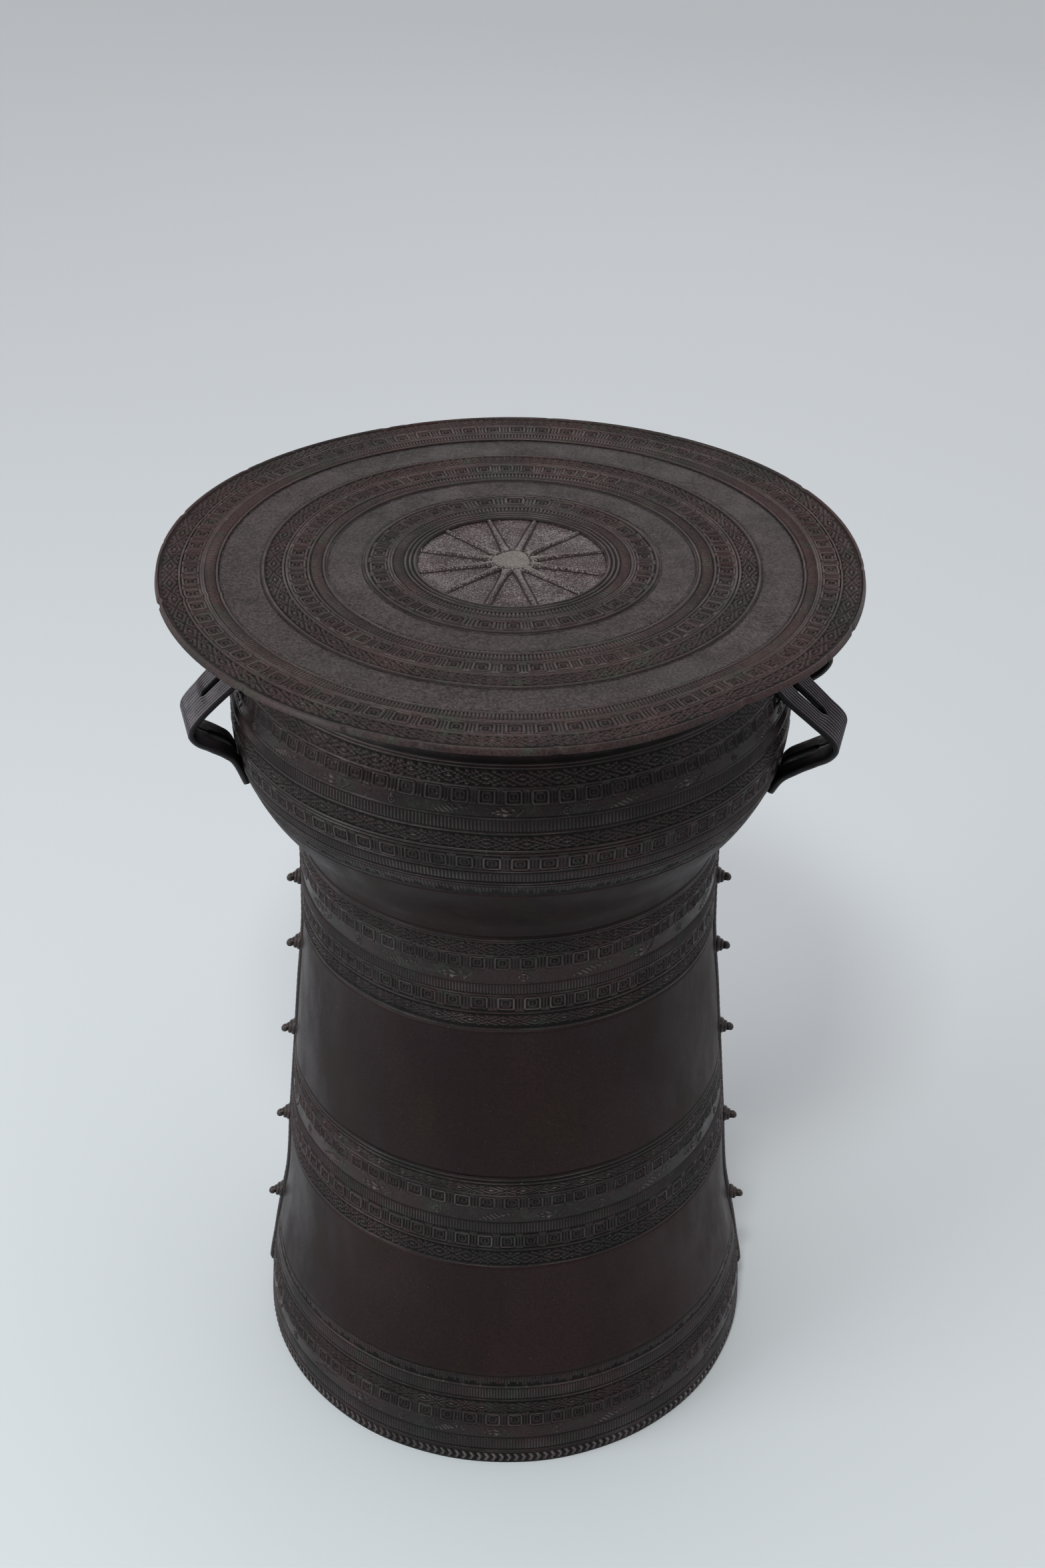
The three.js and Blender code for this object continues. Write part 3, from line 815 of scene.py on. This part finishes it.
def head_ring(name, low, high, columns, bands, ridges, seed, finish="head_stamped", plain_step=6.0,
              bead=False):
    """A closed ring of the plate between two radii: height = ground + stamp rise on top, flat below.
    The outermost ring ends in a rounded bead."""
    along, angle, relief, value = pressed_rows(low, high, columns, bands, ridges, seed, plain_step,
                                               lambda radius: radius)
    height = HEAD_GROUND + STAMP_RISE * relief + 0.5 * casting_wave(angle, 0.8 * along)
    radius = along + 0 * angle
    if bead:
        turn = np.linspace(0, math.pi, BEAD_ROWS)[:, None]
        radius = np.concatenate([radius, high + BEAD / 2 - BEAD / 2 * np.cos(turn) + 0 * angle])
        bead_height = 0.5 * (HEAD_TOP + HEAD_UNDERSIDE) + 0.3 + 2.1 * np.sin(turn) * (turn < BEAD_TURN)
        bead_height = np.where(turn >= BEAD_TURN, HEAD_UNDERSIDE + 1.2 * (math.pi - turn), bead_height)
        height = np.concatenate([height, bead_height + 0 * angle])
        value = np.concatenate([value, np.full((BEAD_ROWS, columns), BEAD_RELIEF)])
    smooth_rows = len(radius) - 1
    under = np.array([high + (UNDER_LIP if bead else 0), low])[:, None]
    radius = np.concatenate([radius, under + 0 * angle])
    height = np.concatenate([height, HEAD_UNDERSIDE + 0 * under + 0 * angle])
    value = np.concatenate([value, np.full((2, columns), PLAIN_RELIEF)])
    radius, height = plate_shape(radius, angle, height)
    grid = turned(radius, angle, height)
    ring = build_skin(name, grid, value, joined=True, smooth_rows=smooth_rows)
    finish_piece(ring, finish, "head_bronze", "drum_head")


HEAD_EDGE = head_radius / MM
head_ring("head_rim_ring", 215.3, HEAD_EDGE - BEAD, 1500,
          [("lozenge", 217.2, 227.4, 60)], [216.0], 1.2, bead=True)
head_ring("head_fret_ring", 191.3, 215.3, 2100,
          [("fret", 203.4, 214.8, 75), ("comb", 193.2, 200.2, 525)], [202.4, 200.9, 192.1], 2.6)
head_ring("head_plain_ring", 163.9, 191.3, 480, (), (), 0.4, "head_plain", 3.0)
head_ring("head_middle_rings", 121.2, 163.9, 1320,
          [("lozenge", 150.6, 160.6, 44), ("fret", 135.0, 146.4, 55), ("comb", 124.6, 131.8, 330)],
          [162.5, 149.6, 147.4, 133.4, 123.3], 4.4)
head_ring("head_inner_plain_ring", 97.9, 121.2, 480, (), (), 1.3, "head_plain", 3.0)
head_ring("head_inner_rings", 62.3, 97.9, 720,
          [("fret", 82.2, 93.4, 30), ("comb", 71.6, 78.0, 180)],
          [95.6, 81.0, 79.2, 70.0, 67.0, 64.0], 0.8)

# %% [markdown]
# The star is the middle of the plate. Each ray is a low bar that narrows to its tip, and the angle is
# folded so that one formula serves all twelve. The grid closes on a point at the middle, top and bottom.

# %% Star
STAR_EDGE, STAR_RAYS, STAR_RISE = 62.3, 12, 2.3
STAR_COLUMNS, PINHOLE = 720, 0.4
BOSS = 14.0
RAY_SHADOW_SPREAD = 1.3


def star_relief(radius, angle, spread=0.0):
    """Relief of the rays and the boss, from 0 to 1. A ray is half round across: sqrt(1 - t * t), where
    t is the distance aside over the ray's half width there. spread widens both, to find the strip round
    their feet that is painted dark as shadow."""
    radius, angle = np.broadcast_arrays(radius, angle)
    turn = angle * STAR_RAYS / math.tau
    number = np.floor(turn)
    fold = turn - number - 0.5 + 0.025 * np.sin(2.3 * number)
    aside = np.abs(radius * np.sin(fold * math.tau / STAR_RAYS))
    along = np.clip((radius - BOSS) / (STAR_EDGE - BOSS), 0, 1.15)
    half = 1.9 + 1.6 * np.exp(-9 * along) - 0.4 * along + 0.2 * np.sin(1.7 * number + radius / 9) + spread
    ray = np.sqrt(unit(1 - (aside / half) ** 2)) * (1 - 0.35 * along + 0.06 * np.sin(radius / 5))
    ray = ray * unit((radius - 0.8 * BOSS) / 3)
    boss = 0.95 * edge(radius - BOSS - spread + 1.2 + 1.2 * np.sin(3 * angle + 1), 1.4)
    return np.maximum(ray, boss)


star_rows = np.concatenate([np.linspace(PINHOLE, 9, 5), np.linspace(10, 19, 16),
                            np.linspace(20.5, STAR_EDGE, 31)])[:, None]
star_angle = around(STAR_COLUMNS)
star = star_relief(star_rows, star_angle)
star_wave = 0.5 * casting_wave(star_angle, 0.8 * star_rows) * unit(star_rows / 30)
under = np.ones((2, STAR_COLUMNS))
star_height = np.concatenate([STAR_GROUND + STAR_RISE * star + star_wave, HEAD_UNDERSIDE * under])
star_grid = turned(np.concatenate([star_rows, [[STAR_EDGE], [PINHOLE]]]), star_angle, star_height)
# The ground just beside each ray and round the boss is painted dark: painted shadow lines along the rays.
ray_shadow_strip = star_relief(star_rows, star_angle, RAY_SHADOW_SPREAD) > 0.05
star_value = np.where(star > 0.05, 0.20 + 0.62 * unit(star), 0.36 - 0.32 * ray_shadow_strip)
head_star = build_skin("head_star", star_grid, np.concatenate([star_value, PLAIN_RELIEF * under]),
                       smooth_rows=len(star_rows) - 1)
finish_piece(head_star, "star", "head_bronze", "drum_head")

# %% [markdown]
# ## Strap handles
# Each handle is a pair of ribbed straps side by side, which leave the mantle under the head, bend, come
# back lower down and part near the mantle. A Curve with a bevel profile thickens wherever it widens, so
# each strap is swept here along a smooth path, with ribs and width worked out at each station.

# %% Strap handles
STRAP_THICKNESS, STRAP_HALF = 4.0, 21.0
STRAP_ROWS = 110
STRAP_RIBS, RIB_RISE = 6, 1.4
SLOT_HALF, SLOT_SPREAD, SLOT_ROOT = 3.4, 1.8, 170
HANDLE_RUNS = {"left": (0.119, 0.515, 0.792), "right": (0.170, 0.540, 0.850)}
OUT_TO_BEND = ((0.50, 0.52), (0.90, 0.84))
BACK_FROM_BEND = ((0.97, 0.16), (0.85, 0.33), (0.62, 0.50), (0.30, 0.74))


def smooth_path(points, count):
    """Catmull-Rom curve through the points: between two of them, a cubic whose slope at each point is
    half the way from the point before to the point after."""
    points = np.asarray(points, float)
    padded = np.concatenate([[2 * points[0] - points[1]], points, [2 * points[-1] - points[-2]]])
    at = np.linspace(0, len(points) - 1, count)
    i = np.minimum(at.astype(int), len(points) - 2)
    t = (at - i)[:, None]
    before, start, end, beyond = padded[i], padded[i + 1], padded[i + 2], padded[i + 3]
    return 0.5 * (2 * start + (end - before) * t + (2 * before - 5 * start + 4 * end - beyond) * t ** 2
                  + (3 * start - before - 3 * end + beyond) * t ** 3)


def join_pieces(first, *others):
    """One object from several meshes, which stay separate closed shells inside it."""
    with bpy.context.temp_override(active_object=first, selected_editable_objects=[first, *others]):
        bpy.ops.object.join()
    return first


def strap_path(node, side):
    """The strap's middle line as radius and height, from the CAD handle's box and its farthest reach.
    HANDLE_RUNS says how far down it leaves the mantle, bends and comes back. The other tables give
    points between, as shares of the bend's stand-off and of the way down."""
    low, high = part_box(node)
    corners = corners_of(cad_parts[node].data) / MM
    turn = math.atan2(corners[:, 1].mean(), corners[:, 0].mean())
    reach = (corners[:, 0] * math.cos(turn) + corners[:, 1] * math.sin(turn)).max() - STRAP_THICKNESS / 2
    top, bottom = high.z / MM - 0.4, low.z / MM + 0.4
    upper, bend, lower = (top - share * (top - bottom) for share in HANDLE_RUNS[side])
    seat = STRAP_THICKNESS / 2 - 0.6
    skin = float(body_radius(bend))
    out = reach - skin
    route = [(float(body_radius(top)) + seat, top), (float(body_radius(upper)) + seat + 1, upper),
             *((skin + share * out, upper + down * (bend - upper)) for share, down in OUT_TO_BEND),
             (reach, bend),
             *((skin + share * out, bend + down * (lower - bend)) for share, down in BACK_FROM_BEND),
             (float(body_radius(lower)) + seat + 2, lower), (float(body_radius(bottom)) + seat, bottom)]
    return smooth_path(route, STRAP_ROWS), turn, reach, bend


def strap_half(name, path, turn, reach, bend, way):
    """One strap of the pair. Across the outer face, height = ribs of sin squared; the edges are rounded
    and the inner face is plain. way is +1 or -1 for the strap's side of the handle's middle."""
    slope = np.gradient(path, axis=0)
    slope /= np.linalg.norm(slope, axis=1)[:, None]
    outward = np.stack([-slope[:, 1], slope[:, 0]], 1)
    radius, height = path[:, 0], path[:, 1]
    tip = reach - 11.0
    inwards = unit((tip - radius) / 25)
    below = unit((bend - height) / 20)
    half = STRAP_HALF * (1 + 0.12 * inwards) * (1 - 0.15 * below)
    to_end = unit((np.arange(len(path))[::-1] / (len(path) - 1)) / 0.12)
    half = np.where(below > 0.5, half * (0.55 + 0.45 * np.sqrt(1 - (1 - to_end) ** 2)), half)
    slot = SLOT_HALF + SLOT_SPREAD * unit((tip - radius) / (tip - SLOT_ROOT))
    slot = np.sqrt(unit((tip - radius) / 3.0)) * slot
    slot = np.where((below > 0.5) & (to_end < 1), slot * to_end, slot)
    across = np.linspace(0, 1, STRAP_RIBS * 6 + 1)[None, :]
    ribs = np.sin(math.pi * STRAP_RIBS * across) ** 2
    rounded = np.sqrt(np.clip(1 - (unit((across - 0.93) / 0.07)) ** 2, 0.02, 1))
    outer_offset = (STRAP_THICKNESS / 2 - 0.3) * rounded + RIB_RISE * ribs - 0.35
    back = np.array([1.0, 0.97, 0.85, 0.5, 0.15, 0.0])[None, :]
    back_offset = np.array([-0.4, -1.4, -2.0, -2.0, -2.0, -2.0])[None, :]
    share = np.concatenate([across, back], 1)
    offset = np.concatenate([outer_offset, back_offset], 1) + np.zeros((len(path), 1))
    aside = way * (slot[:, None] + share * (half - slot)[:, None])
    out = radius[:, None] + offset * outward[:, :1]
    up = height[:, None] + offset * outward[:, 1:]
    grid = np.stack([out * math.cos(turn) - aside * math.sin(turn),
                     out * math.sin(turn) + aside * math.cos(turn), up], -1)
    # The rib tops get the pale worn colour and the grooves the dark one: a painted highlight and painted
    # shade across the ribs.
    value = np.concatenate([0.02 + 0.98 * ribs, np.full((1, back.size), 0.25)], 1) + 0 * offset
    return build_skin(name, grid, value)


for side in ("left", "right"):
    for end in ("front", "rear"):
        node = f"handle_{side}_{end}"
        path = strap_path(node, side)
        strap = join_pieces(strap_half(node + "_strap", *path, 1), strap_half(node + "_second", *path, -1))
        finish_piece(strap, "handle", "handle_bronze", node)

# %% [markdown]
# ## Seam strips
# The mould's two halves met along a line down each side, and a plaited strip hides it. It is a grid of
# height against width laid on the shell's outline, a little thicker at the foot.

# %% Seam strips
SEAM_STEP, SEAM_COLUMNS = 1.2, 27
PLAIT_PITCH, PLAIT_SHARE = 6.0, 0.86


def seam_piece(name, node, rise, foot_extra=0.0):
    """A strip on the shell: standing height = rise, rounded across, plus a plait pressed into it and
    extra thickness near the foot."""
    low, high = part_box(node)
    turn = 0.0 if low.x + high.x > 0 else math.pi
    half = (high.y - low.y) / 2 / MM
    bottom, top = low.z / MM, high.z / MM
    along = np.linspace(bottom, top, int((top - bottom) / SEAM_STEP))[:, None]
    across = np.linspace(-1, 1, SEAM_COLUMNS)[None, :]
    plait = rope(along, across * half, PLAIT_PITCH, 2 * half * PLAIT_SHARE, 0)
    lines = edge(np.abs(np.abs(across) * half - PLAIT_SHARE * half) - 0.3)
    relief = np.maximum(plait, lines)
    crown = (1 - np.abs(across) ** 6) ** 0.5
    ends = np.sqrt(unit(1 - (1 - np.minimum(along - bottom, top - along) / 4).clip(0, 1) ** 2))
    stand = (rise + foot_extra * np.exp(-((along - bottom) / 16) ** 2)) * (0.35 + 0.65 * ends)
    front = body_radius(along) + (stand - 0.5 + 0.75 * relief) * crown - 0.6 * (1 - crown)
    back = body_radius(along) - 1.4 + np.zeros((1, 3))
    sway = 0.5 * np.sin(along / 23) + 0.3 * np.sin(along / 9 + 1)
    aside = np.concatenate([across * half + 0 * along, np.array([[0.97, 0.0, -0.97]]) * half + 0 * along],
                           1) + sway
    out = np.concatenate([front, back], 1)
    grid = np.stack([math.cos(turn) * out, math.cos(turn) * aside, along + 0 * out], -1)
    # Low values give the plait's grooves the finish's dark colour of dirt and painted shade.
    value = np.concatenate([0.15 + 0.7 * relief + 0 * front, 0 * back + 0.3], 1)
    finish_piece(build_skin(name, grid, value), "seam", "seam_bronze", node)


for side in ("left", "right"):
    seam_piece(f"seam_strip_{side}_plait", f"seam_strip_{side}", 2.3, 1.0)
    seam_piece(f"mantle_seam_{side}_plait", f"mantle_seam_{side}", 2.3)

# %% [markdown]
# ## Snails
# Five snails climb each seam. A snail shell is a tube on a spiral: the angle runs for rather more than
# two turns while the distance from its axis and the tube's own radius shrink towards a small round tip.
# A Screw modifier can't shrink as it turns, so the spiral is worked out on a grid.

# %% Snails
SNAIL_TURNS, SNAIL_DROOP = 2.4, -0.22
TUBE_ROWS, TUBE_SIDES, PLATE_SIDES = 84, 12, 24
KNOB, KNOB_OUT = 3.1, 1.4


def snail(node):
    """A spiral tube: middle line (p cos a, p sin a, h), with p and the tube's radius falling and h
    rising evenly along it, a round knob on its tip and a flared plate under its foot."""
    low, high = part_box(node)
    outward = -1.0 if low.x + high.x < 0 else 1.0
    aside, level = (low.y + high.y) / 2 / MM, (low.z + high.z) / 2 / MM
    inner = min(abs(low.x), abs(high.x)) / MM
    rise = abs(high.x - low.x) / MM
    width = (high.y - low.y) / 2 / MM
    s = np.linspace(0, 1, TUBE_ROWS)[:, None]
    ring = around(TUBE_SIDES)
    angle = math.tau * SNAIL_TURNS * s * -outward
    tube = width * (0.37 - 0.15 * s)
    orbit = width * (0.62 - 0.38 * s ** 1.6)
    lift = 1.2 + (rise - 4.6) * s
    local = turned(orbit + tube * np.cos(ring), angle, lift + tube * np.sin(ring))
    knob_turn = np.linspace(0.12, math.pi - 0.12, 11)[:, None]
    knob = turned(KNOB * np.sin(knob_turn), ring, rise + KNOB_OUT - KNOB + KNOB * np.cos(knob_turn))
    base_ring = around(PLATE_SIDES)
    base_r = np.array([0.1, 0.72, 0.95, 1.05, 1.05, 0.1])[:, None] * width
    base_r = base_r * (1 + 0.07 * np.sin(2 * base_ring))
    plate = turned(base_r, base_ring, np.array([2.9, 2.4, 1.6, 0.6, -0.9, -0.9])[:, None])
    pieces = []
    for part, (grid, value) in enumerate(((local, 0.35 + 0.4 * np.cos(ring) ** 2 + 0 * s),
                                          (knob, 0.75), (plate, 0.35))):
        x, y, h = grid[..., 0], grid[..., 1], grid[..., 2]
        placed = np.stack([outward * (inner + h), aside + x, level + y + SNAIL_DROOP * h], -1)
        pieces.append(build_skin(f"{node}_part_{part}", placed, value))
    shell = join_pieces(*pieces)
    shell.name = node + "_shell"
    finish_piece(shell, "seam", "seam_bronze", node)


for side in ("left", "right"):
    for number in range(1, 6):
        snail(f"snail_{side}_{number}")

# %% [markdown]
# ## Last measures
# The last cell counts the triangles on show. The visual model has to stay in the CAD model's box,
# apart from a small allowance.

# %% Measure and finish
shown = [item.data for item in bpy.context.scene.objects
         if item.type == "MESH" and not item.hide_render and item != studio_floor]
print("triangles on show:", sum(len(mesh.loops) - 2 * len(mesh.polygons) for mesh in shown))
